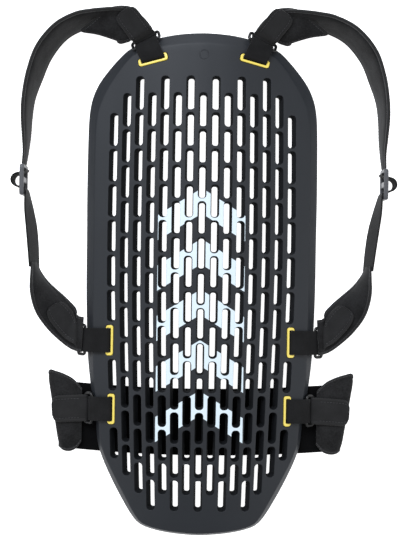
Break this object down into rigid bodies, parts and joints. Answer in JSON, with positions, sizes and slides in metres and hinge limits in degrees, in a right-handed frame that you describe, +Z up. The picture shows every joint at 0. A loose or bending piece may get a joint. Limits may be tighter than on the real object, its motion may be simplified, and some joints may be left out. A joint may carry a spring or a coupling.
{
  "type": "back protector",
  "caption": "Ventilated foam back protector with padded shoulder straps, side straps and a waist belt, lying outer side up.",
  "frame": {"origin": "under the middle of the whole piece, on the surface it lies on", "axes": "+X to the wearer's right as seen from the outer side, +Y towards the neck end, +Z up, out of the outer side"},
  "size_m": [0.4, 0.5442, 0.0473],
  "materials": {
    "foam": "matt moulded foam skin",
    "rim": "satin moulded yellow",
    "webbing": "woven",
    "wire": "gloss moulded black",
    "pad": "knitted cover over foam",
    "slider": "satin moulded grey",
    "belt": "elastic weave"
  },
  "bodies": {
    "root": {"foam_panel": "foam", "waist_belt": "belt", "eyelet_top_right": "rim", "eyelet_top_left": "rim", "eyelet_middle_right": "rim", "eyelet_middle_left": "rim", "eyelet_low_right": "rim", "eyelet_low_left": "rim", "anchor_webbing_top_right": "webbing", "anchor_webbing_top_left": "webbing", "anchor_webbing_middle_right": "webbing", "anchor_webbing_middle_left": "webbing", "anchor_webbing_low_right": "webbing", "anchor_webbing_low_left": "webbing", "loop_top_right": "wire", "loop_top_left": "wire", "loop_middle_right": "wire", "loop_middle_left": "wire", "loop_low_right": "wire", "loop_low_left": "wire", "shoulder_strap_right": "pad", "shoulder_strap_left": "pad", "shoulder_tab_right": "webbing", "shoulder_tab_left": "webbing", "slider_right": "slider", "slider_left": "slider", "adjuster_webbing_right": "webbing", "adjuster_webbing_left": "webbing", "lower_pad_right": "pad", "lower_pad_left": "pad", "lower_tab_right": "webbing", "lower_tab_left": "webbing", "belt_wing_right": "pad", "belt_wing_left": "pad", "belt_tab_right": "webbing", "belt_tab_left": "webbing"}
  },
  "joints": []
}
